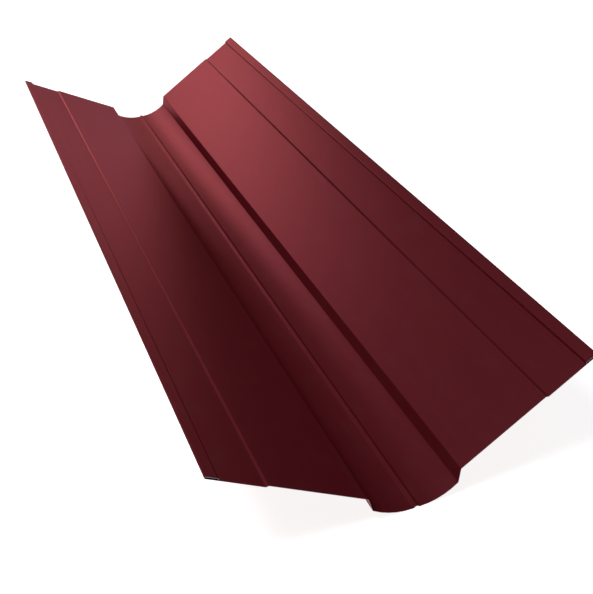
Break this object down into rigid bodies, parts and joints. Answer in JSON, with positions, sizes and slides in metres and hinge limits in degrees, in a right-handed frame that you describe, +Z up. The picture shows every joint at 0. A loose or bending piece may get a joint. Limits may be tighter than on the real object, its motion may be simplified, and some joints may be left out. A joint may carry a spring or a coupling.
{
  "type": "valley flashing",
  "caption": "Folded sheet-steel valley flashing: V-shaped, with hemmed wings either side of a stepped, shallow round trough that carries rainwater down a roof valley.",
  "frame": {"origin": "middle of the length, on the floor under the trough", "axes": "+Y along the length, +Z up out of the open side, +X across to the right wing"},
  "size_m": [0.644, 2, 0.1875],
  "materials": {
    "coated_steel": "satin coil coating, wine red"
  },
  "bodies": {
    "root": {"valley_flashing": "coated_steel"}
  },
  "joints": []
}
